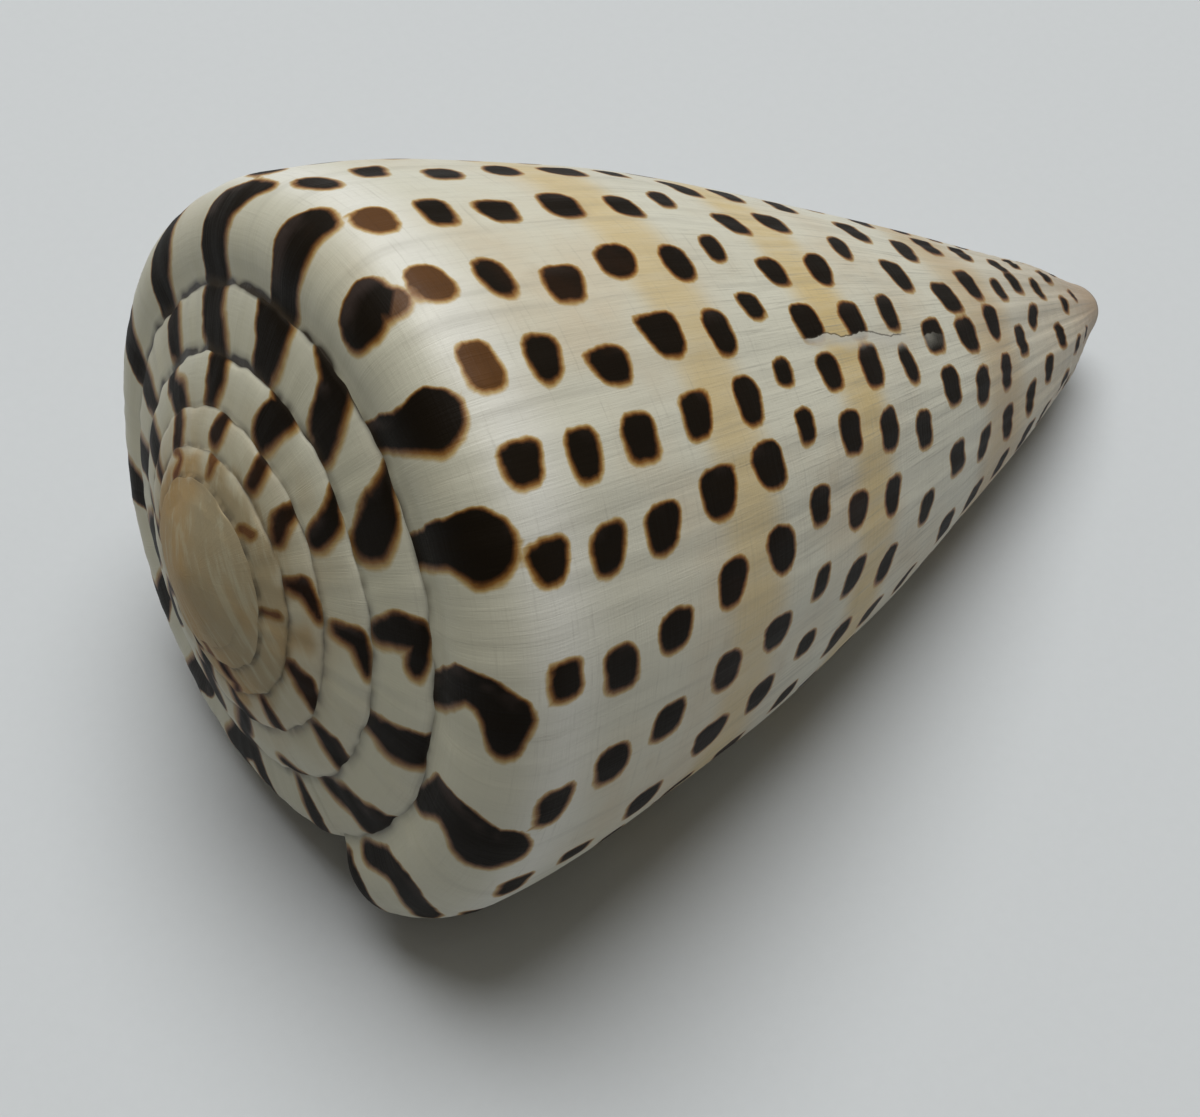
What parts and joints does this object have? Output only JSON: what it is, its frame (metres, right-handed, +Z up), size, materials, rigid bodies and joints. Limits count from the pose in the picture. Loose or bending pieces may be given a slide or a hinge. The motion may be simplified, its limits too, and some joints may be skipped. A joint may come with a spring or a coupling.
{
  "type": "cone shell",
  "caption": "Spotted cone shell with a low coiled spire, rounded shoulder and long narrow aperture, lying aperture down.",
  "frame": {"origin": "middle of the footprint, at the height of the surface that the shell lies on", "axes": "+Z up; +X along the shell from the spire to the narrow front end"},
  "size_m": [0.0974, 0.056, 0.0534],
  "materials": {
    "shell": "glossy natural shell, greyish white with black-brown spots, ochre bands and a worn apex"
  },
  "bodies": {
    "root": {"cone_shell": "shell"}
  },
  "joints": []
}
